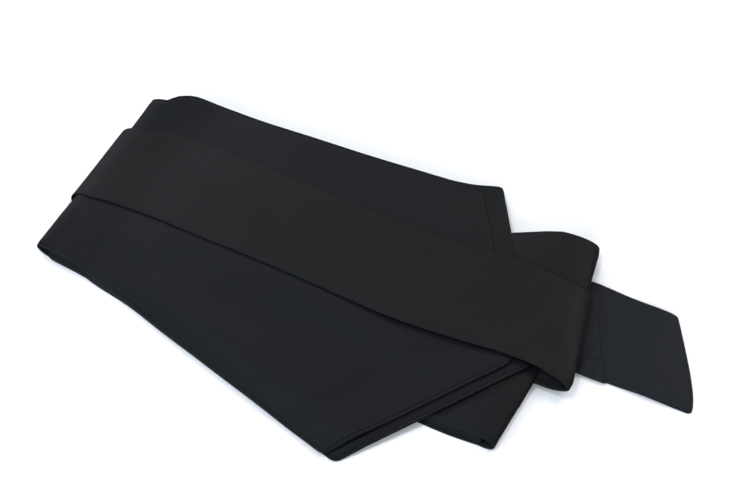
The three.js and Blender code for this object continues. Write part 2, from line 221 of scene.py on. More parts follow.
# How it loops down past the points: where it turns, how it bends, and how it comes back.
Loop = namedtuple("Loop", "near_x far_x bulge near_return far_return slip crisp")
LOOP = Loop(
    near_x=360.5, far_x=343.5, bulge=15.6, near_return=15, far_return=4, slip=-1.4, crisp=1.4
)
Return = namedtuple("Return", "share bottom shift")
LOOP_RETURN = (
    Return(0, 4.2, -6),
    Return(0.05, 5.2, -5.6),
    Return(0.11, 5.9, -5.2),
    Return(0.24, 5.8, -4.4),
    Return(1, 3.3, -4),
)

# Ties folded back on themselves beside the panel: sections of the upper and the under ply. A ply
# arches up from its near edge to its full arch within a short reach.
ARCH_REACH = 2.4
Ply = namedtuple("Ply", "x near far near_top far_top arch", defaults=(0,))
Fold = namedtuple("Fold", "start stop near_bulge far_bulge slip top under")
NEAR_FOLD = Fold(
    start=284,
    stop=341,
    near_bulge=10,
    far_bulge=11.4,
    slip=0,
    top=(
        Ply(284, -62.9, 8, 2, 4.6, 1),
        Ply(302, -61.2, 10, 2.8, 5.2, 1.6),
        Ply(325, -58.2, 12, 4.7, 6.2, 2),
        Ply(346, -56.6, 13, 6, 6.8, 1.4),
    ),
    under=(
        Ply(284, -65.4, 8, 0, 0.8),
        Ply(318, -63.4, 11, 0, 2.4),
        Ply(346, -59.6, 13, 0, 3.2),
    ),
)
NEAR_FOLD_UPPER = (
    Ply(286, -19, 30, 6.9, 7.4),
    Ply(318, -22.4, 30, 7.9, 8.4),
    Ply(338, -24.4, 18, 8.3, 8.7),
    Ply(345, -25, 10, 7.7, 8.2),
    Ply(349, -25, 8, 6.1, 6.6),
    Ply(352, -24, 6, 3.6, 4.2),
)
FAR_LOOP_PLACE = Spot(270, 88)
FAR_LOOP_TURN = 19
FAR_LOOP = Fold(
    start=15,
    stop=53,
    near_bulge=21,
    far_bulge=26.4,
    slip=-2.4,
    top=(
        Ply(15, -62, 0, 7.8, 8),
        Ply(30, -62, 1, 8, 11.6),
        Ply(45, -58, 2, 8.6, 14.8),
        Ply(58, -54, 2.6, 9.2, 16),
        Ply(68, -50, 0.8, 9.4, 15.2),
    ),
    under=(
        Ply(15, -62, -3, 4.2, 1),
        Ply(40, -58, -3, 5, 1),
        Ply(68, -50, -4, 5.6, 1),
    ),
)

# Inner layers of the same cloth, which show in the openings of the panel's fold and of the tie.
PANEL_INSIDE = Fold(
    start=52,
    stop=16,
    near_bulge=-3.4,
    far_bulge=-4,
    slip=0,
    top=(
        Ply(12, -73.8, -30, 4.4, 5),
        Ply(28, -74.2, -30, 4, 4.6),
        Ply(50, -75.6, -34, 3.2, 3.8),
    ),
    under=(
        Ply(12, -76.6, -30, 2.5, 2.8, 0.7),
        Ply(28, -77.4, -30, 2.3, 2.6, 1.3),
        Ply(50, -77.4, -34, 2.1, 2.4, 0.7),
    ),
)
TIE_INSIDE = Fold(
    start=292,
    stop=338,
    near_bulge=3.6,
    far_bulge=3,
    slip=0,
    top=(
        Ply(292, -61.2, -40, 2.2, 2.8),
        Ply(312, -58.8, -36, 3.7, 4.6, 0.5),
        Ply(334, -57.6, -34, 5.1, 5.4, 0.6),
    ),
    under=(
        Ply(292, -63.4, -40, 1.2, 1.2, 0.4),
        Ply(312, -62, -36, 1.2, 1.3, 1.4),
        Ply(334, -59.6, -34, 1.2, 1.3, 1.6),
    ),
)
INSIDE_WALL = 0.8

# The two slanted free ends.
Slant = namedtuple("Slant", "near far bow lean")
TAIL_LONG = (
    Ply(330, 19.2, 80, 1.2, 1.2),
    Ply(356, 20.2, 89.8, 1.2, 1.2),
    Ply(384, 21.5, 90.2, 1.2, 1.2),
    Ply(410, 23.6, 91.4, 1.2, 1.2),
)
TAIL_LONG_END = Slant(Spot(449.8, 27.2), Spot(414.2, 91), 4, 0.6)
TAIL_SHORT = (
    Ply(332, 16.4, 78, 2.3, 1.6),
    Ply(357.4, 17.2, 85, 2.3, 1.6),
)
TAIL_SHORT_END = Slant(Spot(393, 20.4), Spot(361, 85), -3.6, 1)
TAIL_CREASES = (
    Crease(Spot(372, 32), Spot(385, 40), 2.4, 0.7),
    Crease(Spot(374, 14), Spot(376, 34), 3, 0.8),
    Crease(Spot(436, -40), Spot(388, 150), 16, 1.5),
)

# How finely each piece is divided.
PANEL_ACROSS = 44
LEAF_ALONG = 84
TIE_ACROSS = 32
BAND_ALONG = 110
LOOP_ALONG = 16
FOLD_ALONG = 40
ROLL_STEPS = 24
UNDER_STEPS = 6
HIDDEN_ACROSS = 30
HIDDEN_ALONG = 40

# A slanted edge crosses the sheet at this much more than its inset.
SLANT_STRETCH = 1.17

# The layers of tie under the panel, from the lowest: where each starts, how far it reaches to
# the near side as a share of the panel's half-width, how far its far edge is drawn in, and the
# width and length of tie in it.
Layer = namedtuple("Layer", "order start near inset width length")
HIDDEN_LAYERS = (
    Layer(0, 34, 0.72, 2, 0.165, 0.245),
    Layer(1, 56, 0.56, 0, 0.155, 0.225),
    Layer(2, 72, 0.4, 3.4, 0.14, 0.21),
    Layer(3, 96, 0.24, 1.2, 0.125, 0.19),
)

# Where the layers end, their far edge as a share of the half-width, the radius of their corners
# and how far they stay behind the slanted edges.
HIDDEN_END = 279
HIDDEN_FAR = 0.96
HIDDEN_ROUND = 5.9
HIDDEN_BEHIND = 10

# A stitch, from where its thread comes up to where it goes down: shares of its length, with how
# thick it shows there. The thread has this many sides, is pulled this much flatter than it is
# wide, and sinks into the cloth by this share of its thickness.
STITCH_SHAPE = ((0, 0), (0.08, 0.6), (0.25, 0.95), (0.5, 1), (0.75, 0.95), (0.92, 0.6), (1, 0))
STITCH_SIDES = 6
THREAD_FLATNESS = 1.3
THREAD_SUNK = 0.1

# Two distances are the same when they differ by less than this.
CLOSE = 0.01

# The cut of each piece that shows, in metres, as width and length.
PANEL_INSIDE_CUT = (0.046, 0.07)
TIE_INSIDE_CUT = (0.024, 0.09)
LONG_CUT = (0.0745, 0.118)
SHORT_CUT = (0.0745, 0.063)

# How much light each finish reflects straight back, and how rough the dull ones are.
PANEL_SPECULAR = 0.1
TIE_SPECULAR = 0.092
TIE_END_SPECULAR = 0.1
THREAD_SPECULAR = 0.12
PAPER_SPECULAR = 0.5
THREAD_ROUGHNESS = 0.6
PAPER_ROUGHNESS = 0.9

# The satin's pattern, per metre: warp floats 0.35 mm wide and 2 mm long, drawn a few times
# coarser than the real thread so that they show, slubs along the same way, and soft patches.
FLOAT_SCALE = (500, 2800, 1)
SLUB_SCALE = (40, 500, 1)
HANDLED_SCALE = 22

# The slubs between these levels take the satin from its least to its most roughness. The floats
# and the handled patches stand up by so much, in metres, at so much strength.
SLUB_LEVELS = (0.3, 0.7)
SATIN_ROUGHNESS = (0.48, 0.56)
SHEEN_ROUGHNESS = 0.4
Bump = namedtuple("Bump", "strength distance")
FLOAT_BUMP = Bump(0.25, 0.00005)
PUCKER_BUMP = Bump(0.5, 0.0008)

# The white all round the stage, and the lights, placed as the camera sees them.
STUDIO_WHITE = "#f7f9ff"
STUDIO_STRENGTH = 0.24
Light = namedtuple("Light", "name right away up width height power colour")
LIGHTS = (
    Light("Key", 1.4, 1.25, 1.8, 1.1, 1.1, 28, "#fffcf8"),
    Light("Back", -0.9, 2.5, 1.45, 2.0, 0.9, 44, "#f4f8ff"),
    Light("Front", -0.4, -2.2, 1.0, 2.0, 0.8, 38, "#f0f6ff"),
    Light("Side", -2.3, -1.1, 1.0, 1.4, 0.8, 38, "#e6f1ff"),
    Light("Top", -0.7, 0.2, 2.4, 0.7, 0.7, 22, "#eef6ff"),
)

# The spot on the floor that the camera aims at, and how far it sees, in metres.
CAMERA_AIM = Spot(207.8, 40.2)
CAMERA_SEES = 20


# Reading the tables

def lerp(a, b, share):
    return a + (b - a) * share


def smoothly(rows, at, column, place):
    """Reads a table as a curve through its rows that doesn't swing past them."""
    xs = [getattr(row, at) for row in rows]
    ys = [getattr(row, column) for row in rows]
    if place <= xs[0]:
        return ys[0]
    if place >= xs[-1]:
        return ys[-1]
    slopes = [(ys[k + 1] - ys[k]) / (xs[k + 1] - xs[k]) for k in range(len(rows) - 1)]

    def lean(k):
        if k in (0, len(slopes)):
            return slopes[min(k, len(slopes) - 1)]
        before, after = slopes[k - 1], slopes[k]
        return 0 if before * after <= 0 else 2 * before * after / (before + after)

    k = next(k for k in range(len(slopes)) if place < xs[k + 1])
    span = xs[k + 1] - xs[k]
    t = (place - xs[k]) / span
    ends = ys[k] * (1 + 2 * t) * (1 - t) ** 2 + ys[k + 1] * t * t * (3 - 2 * t)
    return ends + span * (lean(k) * t * (1 - t) ** 2 - lean(k + 1) * t * t * (1 - t))


def fade(t):
    t = max(0.0, min(1.0, t))
    return t * t * (3 - 2 * t)


def relief(creases, x, y):
    """Height that the soft troughs and ridges add at a place."""
    height = 0
    for crease in creases:
        along = Vector((crease.end.x - crease.start.x, crease.end.y - crease.start.y))
        to_place = Vector((x - crease.start.x, y - crease.start.y))
        share = to_place.dot(along) / along.length_squared
        aside = (to_place - along * share).length / crease.width
        ends = fade(share / CREASE_GROWS) * fade((1 - share) / CREASE_GROWS)
        height += crease.depth * math.exp(-aside * aside) * ends
    return height


# Heights of the piled cloth

def share_across(x, y):
    column = "near" if y < 0 else "far"
    return y / smoothly(UPPER_LEAF.sides, "x", column, min(x, HEAP_WIDEST))


def heap_top(x, y):
    section = [
        Across(getattr(ACROSS, column), smoothly(HEAP, "x", column, x))
        for column in Section._fields[1:]
    ]
    return smoothly(section, "share", "height", share_across(x, y))


def lower_leaf_top(x, y):
    return heap_top(x, y) + PANEL_WALL


def upper_leaf_top(x, y):
    lift = smoothly(FOLD_PUFF, "share", "height", share_across(x, y))
    puff = lift * smoothly(PUFF_FADES, "x", "share", x)
    return lower_leaf_top(x, y) + GAP + PANEL_WALL + puff + relief(PANEL_CREASES, x, y)


# Places across or along a sheet: a share of the way, with a shift that keeps the rim rows at
# their distance from the edge, and that distance.
Station = namedtuple("Station", "share shift inset")
INSIDE = Station(0, 0, RIM[-1])


def stations(count, first=True, last=True):
    """Rim rows at the first and last edge where they are free, and count even steps between."""
    start = RIM[-1] - PAST if first else 0
    stop = RIM[-1] - PAST if last else 0
    rows = [Station(0, inset - PAST, inset) for inset in RIM[:-1]] if first else []
    for k in range(count + 1):
        rows.append(Station(k / count, lerp(start, -stop, k / count), RIM[-1]))
    if last:
        rows += [Station(1, PAST - inset, inset) for inset in reversed(RIM[:-1])]
    return rows


def rounded_corner(side, end, radius):
    """The two shifts at a place, moved so that the rim lines go round a sheet's corner."""
    if side.inset >= radius or end.inset >= radius:
        return side.shift, end.shift
    over = 1 - side.inset / radius
    up = 1 - end.inset / radius
    aside = radius * (1 - over * math.sqrt(1 - up * up / 2)) - PAST
    back = radius * (1 - up * math.sqrt(1 - over * over / 2)) - PAST
    return (aside if side.share < 0.5 else -aside), (back if end.share < 0.5 else -back)


def bend(start, finish, bulge, steps, slip=0, lift=0, crisp=1):
    """Half a turn from one point to another that lies above or below it, bulging along x,
    slipping along y and lifted in its middle. A crisp bend is over 1: it falls straighter."""
    middle = (start + finish) / 2
    half = start - middle
    points = []
    for i in range(1, steps):
        angle = math.pi / 2 - math.pi * i / steps
        aside = Vector((bulge, slip, lift)) * math.cos(angle) ** crisp
        upright = math.copysign(abs(math.sin(angle)) ** crisp, math.sin(angle))
        points.append(middle + half * upright + aside)
    return points


# Cloth

def fullness(inset, draw, wall):
    """Thickness near an edge, as a share: it rounds off, and is drawn in along the stitching."""
    rounding = wall * SOFT_EDGE
    if inset < rounding:
        return max(THINNEST, math.sqrt(1 - (1 - inset / rounding) ** 2))
    from_seam = (inset - bpy.context.scene.sash_cloth.stitch_inset / MM) / SEAM_WIDTH
    return 1 - draw * math.exp(-from_seam * from_seam)


def laid(point):
    return LAID_OUT + point * MM


def lengths(points):
    """How far each point of a line is from its start."""
    runs = [0]
    for a, b in zip(points, points[1:]):
        runs.append(runs[-1] + (b - a).length)
    return runs


def cloth(name, columns, across, along, wall, side_draw=0, end_draw=0):
    """A sheet with a thickness. columns holds its middle surface, one line of points for each
    station across it; the draws say how far stitching pulls in its side edges and its ends."""
    mesh = bmesh.new()
    rows, lines = len(along), len(across)
    bmesh.ops.create_grid(mesh, x_segments=rows - 1, y_segments=lines - 1, size=1)
    uv = mesh.loops.layers.uv.new("Cloth")
    over = lengths([line[rows // 2] for line in columns])
    down = lengths(columns[lines // 2])
    weights = []
    for vert in mesh.verts:
        i = round((vert.co.x + 1) / 2 * (rows - 1))
        j = round((vert.co.y + 1) / 2 * (lines - 1))
        side = fullness(across[j].inset, side_draw, wall)
        full = min(side, fullness(along[i].inset, end_draw, wall))
        weights.append(full)
        vert.co = laid(columns[j][i] - Vector((0, 0, (1 - full) * wall / 2)))
        for loop in vert.link_loops:
            loop[uv].uv = (over[j] * MM, down[i] * MM)
    for face in mesh.faces:
        face.smooth = True
    data = bpy.data.meshes.new(name)
    mesh.to_mesh(data)
    mesh.free()
    piece = bpy.data.objects.new(name, data)
    bpy.context.scene.collection.objects.link(piece)
    group = piece.vertex_groups.new(name="Fullness")
    for index, weight in enumerate(weights):
        group.add([index], weight, "REPLACE")
    solid = piece.modifiers.new("Wall", "SOLIDIFY")
    solid.thickness = wall * MM
    solid.offset = 0
    solid.vertex_group = group.name
    solid.thickness_vertex_group = 0
    return piece


def dress(piece, material, nodes):
    """Gives a sheet its finish, ties it to the frame and hides the solids that it replaces."""
    piece.data.materials.append(material)
    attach(piece, "root")
    if nodes:
        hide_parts(*nodes)


# The panel

def slanted_edge(leaf, y):
    """How far along the leaf its slanted edge is, at a place across it."""
    corner = leaf.near_corner if y < leaf.tip.y else leaf.far_corner
    lean = (leaf.tip.x - corner.x) / abs(leaf.tip.y - corner.y)
    return leaf.tip.x - math.hypot(lean * (y - leaf.tip.y), TIP_ROUND)


def leaf_place(leaf, side, end):
    """A place on a leaf, without its height: side is across it, end along it from the fold."""
    aside, back = side.shift, end.shift
    if end.share == 1:
        aside, back = rounded_corner(side, end, CORNER_ROUND)
    end_y = lerp(leaf.near_corner.y, leaf.far_corner.y, side.share) + aside
    x = lerp(FOLD_REACH, slanted_edge(leaf, end_y), end.share) + back * SLANT_STRETCH
    widest = min(x, lerp(leaf.near_corner.x, leaf.far_corner.x, side.share))
    near = -smoothly(leaf.sides, "x", "near", widest)
    far = smoothly(leaf.sides, "x", "far", widest)
    return x, lerp(near, far, side.share) + aside


def panel_form():
    """The middle surface of the panel, from the upper leaf's point round to the lower one's."""
    wall = bpy.context.scene.sash_cloth.panel_wall / MM
    across = stations(PANEL_ACROSS)
    leaf = stations(LEAF_ALONG, first=False)
    columns = []
    for side in across:
        upper = []
        lower = []
        for end in leaf:
            x, y = leaf_place(UPPER_LEAF, side, end)
            drop = smoothly(ROLLED_EDGE, "x", "drop", x) if side.share < 0.5 else 0
            rolled = max(0, drop - ROLLED_SLOPE * side.inset)
            upper.append(Vector((x, y, upper_leaf_top(x, y) - rolled - wall / 2)))
            x, y = leaf_place(LOWER_LEAF, side, end)
            lower.append(Vector((x, y, lower_leaf_top(x, y) - wall / 2)))
        foot = lower[0].copy()
        foot.z = heap_top(foot.x, foot.y) + wall / 2
        tuck = FOLD_TUCK * max(0, 1 - side.share * 2)
        lift = FOLD_LIFT * max(0, 1 - side.share * 2)
        slip = FOLD_SLIP * max(0, side.share * 2 - 1)
        roll = bend(upper[0], foot, wall / 2 - FOLD_REACH + tuck, ROLL_STEPS, slip, lift)
        columns.append([*reversed(upper), *roll, *lower])
    along = [*reversed(leaf), *[INSIDE] * (ROLL_STEPS - 1), *leaf]
    return columns, across, along


# The ties

def band_form():
    """The tie over the panel: from under the fold, round it, across, down the loop and back."""
    wall = bpy.context.scene.sash_cloth.tie_wall / MM
    lift = GAP + TIE_WALL
    across = stations(TIE_ACROSS)
    columns = []
    for side in across:
        loop_x = lerp(LOOP.near_x, LOOP.far_x, side.share)
        xs = [lerp(FOLD_REACH, BAND_STRAIGHT, k / BAND_ALONG) for k in range(BAND_ALONG + 1)]
        xs += [lerp(BAND_STRAIGHT, loop_x, k / LOOP_ALONG) for k in range(1, LOOP_ALONG + 1)]
        over = []
        for x in xs:
            near, far = smoothly(BAND, "x", "near", x), smoothly(BAND, "x", "far", x)
            y = lerp(near, far, side.share) + side.shift
            top = upper_leaf_top(x, y) + lift + relief(BAND_CREASES, x, y)
            over.append(Vector((x, y, top - wall / 2)))
        under_y = over[0].y + lerp(WRAP.near_shift, WRAP.far_shift, side.share)
        under = []
        for k in range(UNDER_STEPS + 1):
            share = k / UNDER_STEPS
            y = under_y + share * WRAP.under_turn
            under.append(Vector((FOLD_REACH + share * WRAP.under, y, wall / 2)))
        bulge = FOLD_REACH + lift - wall / 2 + WRAP.bulge + WRAP.far_bulge * side.share
        wrap = bend(over[0], under[0], -bulge, ROLL_STEPS)
        bottom = smoothly(LOOP_RETURN, "share", "bottom", side.share)
        shift = smoothly(LOOP_RETURN, "share", "shift", side.share)
        foot = Vector((loop_x, over[-1].y + shift, bottom + wall / 2))
        loop = bend(over[-1], foot, LOOP.bulge - wall / 2, ROLL_STEPS, crisp=LOOP.crisp)
        run = lerp(LOOP.near_return, LOOP.far_return, side.share)
        slip = LOOP.slip * (1 - side.share)
        back = [
            foot + Vector((-run, slip, 0)) * (k / UNDER_STEPS) for k in range(UNDER_STEPS + 1)
        ]
        columns.append([*reversed(under), *reversed(wrap), *over, *loop, *back])
    rows = len(columns[0])
    return columns, across, [INSIDE] * rows


def ply_place(rows, x, side, lift):
    """A place on a ply of a tie, from its table: lift is from its outer face to its middle."""
    near = smoothly(rows, "x", "near", x)
    far = smoothly(rows, "x", "far", x)
    near_top = smoothly(rows, "x", "near_top", x)
    far_top = smoothly(rows, "x", "far_top", x)
    y = lerp(near, far, side.share) + side.shift
    height = lerp(near_top, far_top, (y - near) / (far - near))
    arch = smoothly(rows, "x", "arch", x) * min(1, max(0, y - near) / ARCH_REACH)
    return Vector((x, y, height + arch + lift))


def folded_form(fold, wall):
    """A tie that runs out over itself: an upper ply, a bend and an under ply."""
    across = stations(TIE_ACROSS)
    columns = []
    for side in across:
        xs = [lerp(fold.start, fold.stop, k / FOLD_ALONG) for k in range(FOLD_ALONG + 1)]
        top = [ply_place(fold.top, x, side, -wall / 2) for x in xs]
        under = [ply_place(fold.under, x, side, wall / 2) for x in reversed(xs)]
        bulge = lerp(fold.near_bulge, fold.far_bulge, side.share)
        roll = bend(top[-1], under[0], bulge, ROLL_STEPS, fold.slip * side.share)
        columns.append([*top, *roll, *under])
    return columns, across, [INSIDE] * len(columns[0])


def flat_form(rows, slant=None):
    """A flat stretch of a tie, with a slanted end where one is given."""
    wall = bpy.context.scene.sash_cloth.tie_wall / MM
    across = stations(TIE_ACROSS)
    along = stations(FOLD_ALONG, first=False, last=slant is not None)
    columns = []
    for side in across:
        line = []
        for end in along:
            aside, back = side.shift, end.shift
            if slant and end.share == 1:
                aside, back = rounded_corner(side, end, TAIL_ROUND)
            moved = Station(side.share, aside, side.inset)
            if not slant:
                x = lerp(rows[0].x, rows[-1].x, end.share)
                line.append(ply_place(rows, x, moved, -wall / 2))
                continue
            end_y = lerp(slant.near.y, slant.far.y, side.share) + aside
            crossed = (end_y - slant.near.y) / (slant.far.y - slant.near.y)
            bow = slant.bow * math.sin(math.pi * min(max(crossed, 0), 1) ** slant.lean)
            end_x = lerp(slant.near.x, slant.far.x, crossed) + bow
            x = lerp(rows[0].x, end_x, end.share) + back * SLANT_STRETCH
            point = ply_place(rows, min(x, rows[-1].x), moved, -wall / 2)
            if x > rows[-1].x:
                point.y = lerp(point.y, end_y, (x - rows[-1].x) / (end_x - rows[-1].x))
            point.x = x
            point.z += relief(TAIL_CREASES, x, point.y)
            line.append(point)
        columns.append(line)
    return columns, across, along


def hidden_form(layer):
    """One of the layers of tie under the panel."""
    wall = bpy.context.scene.sash_cloth.tie_wall / MM
    across = stations(HIDDEN_ACROSS)
    along = stations(HIDDEN_ALONG)
    columns = []
    for side in across:
        line = []
        for end in along:
            aside, back = rounded_corner(side, end, HIDDEN_ROUND)
            x = lerp(layer.start, HIDDEN_END, end.share) + back
            reach = min(x, HEAP_WIDEST)
            near = -smoothly(UPPER_LEAF.sides, "x", "near", reach) * layer.near
            far = smoothly(UPPER_LEAF.sides, "x", "far", reach) * HIDDEN_FAR - layer.inset
            y = lerp(near, far, side.share) + aside
            x = min(x, slanted_edge(LOWER_LEAF, y) - HIDDEN_BEHIND - end.inset)
            spread = (heap_top(x, y) - GAP - wall) * layer.order / (len(HIDDEN_LAYERS) - 1)
            line.append(Vector((x, y, wall / 2 + max(layer.order * wall, spread))))
        columns.append(line)
    return columns, across, along


# Stitching

def thread_rounds(points, outward, pitch, length):
    """Where a thread goes along a seam: its middles, the ways out, and how thick it shows."""
    runs = lengths(points)
    rounds = []
    k = 0
    for n in range(int(runs[-1] / pitch)):
        for share, fullness_there in STITCH_SHAPE:
            goal = n * pitch + share * length
            while runs[k + 1] < goal:
                k += 1
            along = (goal - runs[k]) / (runs[k + 1] - runs[k])
            tangent = (points[k + 1] - points[k]).normalized()
            out = outward[k].lerp(outward[k + 1], along).normalized()
            rounds.append((points[k].lerp(points[k + 1], along), tangent, out, fullness_there))
    return rounds


def facings(columns, j, i):
    """The way out of a sheet at one of its points."""
    before, after = columns[max(j - 1, 0)][i], columns[min(j + 1, len(columns) - 1)][i]
    line = columns[j]
    down = line[min(i + 1, len(line) - 1)] - line[max(i - 1, 0)]
    return down.cross(after - before).normalized()


def seam_paths(columns, across, along, sides, ends):
    """The lines of points and ways out along the edge-stitching of a sheet."""
    inset = bpy.context.scene.sash_cloth.stitch_inset / MM
    lines = [j for j, side in enumerate(across) if sides and abs(side.inset - inset) < CLOSE]
    rows = [i for i, end in enumerate(along) if ends and abs(end.inset - inset) < CLOSE]
    first = rows[0] if rows else 0
    last = rows[-1] + 1 if len(rows) > 1 else len(along)
    paths = []
    for j in lines:
        paths.append([(j, i) for i in range(first, last)])
    for i in rows:
        begin, stop = (lines[0], lines[-1] + 1) if lines else (0, len(across))
        paths.append([(j, i) for j in range(begin, stop)])
    return [
        ([columns[j][i] for j, i in path], [facings(columns, j, i) for j, i in path])
        for path in paths
    ]


def stitch(name, paths, wall, draw):
    """Every stitch of a sheet's edge-stitching, on both of its faces, as one piece."""
    sizes = bpy.context.scene.sash_cloth
    thread = sizes.thread / MM
    depth = wall / 2 * (1 - draw) - thread * THREAD_SUNK
    seams = bmesh.new()
    for points, outward in paths:
        for face in (1, -1):
            ways = [way * face for way in outward]
            rounds = thread_rounds(points, ways, sizes.stitch_pitch / MM, sizes.stitch_length / MM)
            seam = bmesh.new()
            last = len(rounds) - 1
            bmesh.ops.create_grid(seam, x_segments=last, y_segments=STITCH_SIDES, size=1)
            for vert in seam.verts:
                middle, tangent, out, full = rounds[round((vert.co.x + 1) / 2 * last)]
                turn = math.pi * (vert.co.y + 1)
                aside = out.cross(tangent).normalized()
                ring = (aside * math.cos(turn) + out * math.sin(turn) / THREAD_FLATNESS) / 2
                vert.co = laid(middle + out * depth + ring * thread * full)
            bmesh.ops.reverse_faces(seam, faces=seam.faces)
            part = bpy.data.meshes.new(name)
            seam.to_mesh(part)
            seam.free()
            seams.from_mesh(part)
            bpy.data.meshes.remove(part)
    for face in seams.faces:
        face.smooth = True
    data = bpy.data.meshes.new(name)
    seams.to_mesh(data)
    seams.free()
    piece = bpy.data.objects.new(name, data)
    bpy.context.scene.collection.objects.link(piece)
    return piece


# Finishes

def linear(colour):
    """An sRGB hex colour as Blender's linear one."""
    parts = [int(colour[k:k + 2], 16) / 255 for k in (1, 3, 5)]
    return [p / 12.92 if p <= 0.04045 else ((p + 0.055) / 1.055) ** 2.4 for p in parts] + [1]


def add(tree, kind, settings=None, **links):
    """Adds a node with its settings, and links its inputs to other nodes' outputs or sets them."""
    node = tree.nodes.new(kind)
    for name, value in (settings or {}).items():
        setattr(node, name, value)
    for name, value in links.items():
        socket = node.inputs[name.replace("_", " ")]
        if isinstance(value, bpy.types.NodeSocket):
            tree.links.new(value, socket)
        else:
            socket.default_value = value
    return node


def satin(name, colour, handled_colour, specular, sheen):
    """Polyester satin, woven with long floats and pressed: black, smooth and softly lustrous. Its
    floats run across the tie's width, and it scatters a little light where it turns away."""
    made = bpy.data.materials.get(name)
    if made:
        return made
    material = bpy.data.materials.new(name)
    material.use_nodes = True
    tree = material.node_tree
    tree.nodes.clear()
    place = add(tree, "ShaderNodeUVMap", {"uv_map": "Cloth"}).outputs["UV"]
    floats_place = add(tree, "ShaderNodeMapping", Vector=place, Scale=FLOAT_SCALE)
    floats = add(
        tree, "ShaderNodeTexNoise", Vector=floats_place.outputs["Vector"], Scale=1.0, Detail=2.0
    )
    slub_place = add(tree, "ShaderNodeMapping", Vector=place, Scale=SLUB_SCALE)
    slub = add(
        tree, "ShaderNodeTexNoise", Vector=slub_place.outputs["Vector"], Scale=1.0, Detail=3.0
    )
    handled = add(tree, "ShaderNodeTexNoise", Vector=place, Scale=HANDLED_SCALE, Detail=2.0)
    tint = add(
        tree, "ShaderNodeMixRGB", Fac=handled.outputs["Fac"],
        Color1=colour, Color2=handled_colour,
    )
    gloss = add(
        tree, "ShaderNodeMapRange", Value=slub.outputs["Fac"],
        From_Min=SLUB_LEVELS[0], From_Max=SLUB_LEVELS[1],
        To_Min=SATIN_ROUGHNESS[0], To_Max=SATIN_ROUGHNESS[1],
    )
    thread = add(
        tree, "ShaderNodeBump", Height=floats.outputs["Fac"],
        Strength=FLOAT_BUMP.strength, Distance=FLOAT_BUMP.distance,
    )
    puckers = add(
        tree, "ShaderNodeBump", Height=handled.outputs["Fac"],
        Normal=thread.outputs["Normal"],
        Strength=PUCKER_BUMP.strength, Distance=PUCKER_BUMP.distance,
    )
    shader = add(
        tree, "ShaderNodeBsdfPrincipled",
        Base_Color=tint.outputs["Color"], Roughness=gloss.outputs["Result"],
        Normal=puckers.outputs["Normal"],
    )
    shader.inputs["Specular IOR Level"].default_value = specular
    shader.inputs["Sheen Weight"].default_value = sheen
    shader.inputs["Sheen Roughness"].default_value = SHEEN_ROUGHNESS
    output = add(tree, "ShaderNodeOutputMaterial", Surface=shader.outputs["BSDF"])
    output.name = "Surface"
    return material


def plain(name, colour, roughness, specular):
    """A plain finish, for the thread and the floor."""
    made = bpy.data.materials.get(name)
    if made:
        return made
    material = bpy.data.materials.new(name)
    material.use_nodes = True
    shader = material.node_tree.nodes["Principled BSDF"]
    shader.inputs["Base Color"].default_value = colour
    shader.inputs["Roughness"].default_value = roughness
    shader.inputs["Specular IOR Level"].default_value = specular
    return material


# Settings

class SashCloth(bpy.types.PropertyGroup):
    panel_wall: bpy.props.FloatProperty(
        name="Panel wall", description="Thickness of the panel's double satin",
        default=0.0013, unit="LENGTH", precision=5,
    )
    tie_wall: bpy.props.FloatProperty(
        name="Tie wall", description="Thickness of a tie's double satin",
        default=0.0011, unit="LENGTH", precision=5,
    )
    stitch_inset: bpy.props.FloatProperty(
        name="Stitch inset", description="Distance of the edge-stitching from the edge",
        default=0.002, unit="LENGTH", precision=5,
    )
    panel_draw: bpy.props.FloatProperty(
        name="Panel draw",
        description="Share of the panel's thickness that its stitching pulls in",
        default=0.34, subtype="FACTOR", min=0, max=0.9,
    )
    tie_draw: bpy.props.FloatProperty(
        name="Tie draw",
        description="Share of a tie's thickness that the stitching of its end pulls in",
        default=0.12, subtype="FACTOR", min=0, max=0.9,
    )
    stitch_pitch: bpy.props.FloatProperty(
        name="Stitch pitch", description="Distance from one stitch to the next",
        default=0.0026, unit="LENGTH", precision=5,
    )
    stitch_length: bpy.props.FloatProperty(
        name="Stitch length", description="Length of thread that shows in a stitch",
        default=0.0021, unit="LENGTH", precision=5,
    )
    thread: bpy.props.FloatProperty(
        name="Thread", description="Thickness of the sewing thread",
        default=0.00032, unit="LENGTH", precision=5,
    )
    panel_sheen: bpy.props.FloatProperty(
        name="Panel sheen",
        description="How much light the panel's satin scatters where it turns away",
        default=0.015, subtype="FACTOR", min=0, max=1,
    )
    tie_sheen: bpy.props.FloatProperty(
        name="Tie sheen",
        description="How much light the ties' satin scatters where it turns away",
        default=0.015, subtype="FACTOR", min=0, max=1,
    )


def shade(name, description, colour):
    return bpy.props.FloatVectorProperty(
        name=name, description=description, default=linear(colour), size=4, subtype="COLOR",
        min=0, max=1,
    )


class SashColours(bpy.types.PropertyGroup):
    panel: shade("Panel", "Black of the panel's satin", "#0c0e10")
    panel_handled: shade("Panel, handled", "The panel's black in its handled patches", "#0f1113")
    tie: shade("Tie", "Black of the ties' satin", "#101112")
    tie_handled: shade("Tie, handled", "The ties' black in their handled patches", "#141516")
    # The free ends' black and its handled patches are painted light: lighter and bluer than the
    # tie's, for the light the ends catch.
    end: shade("Tie end", "Black of the ties' free ends, which are a little bluer", "#12151a")
    lit_end_handled: shade("Tie end, handled", "The free ends' black in handled patches", "#15181d")
    thread: shade("Thread", "Black of the sewing thread", "#121315")
    floor: shade("Floor", "White of the paper on the floor", "#f6f6f7")


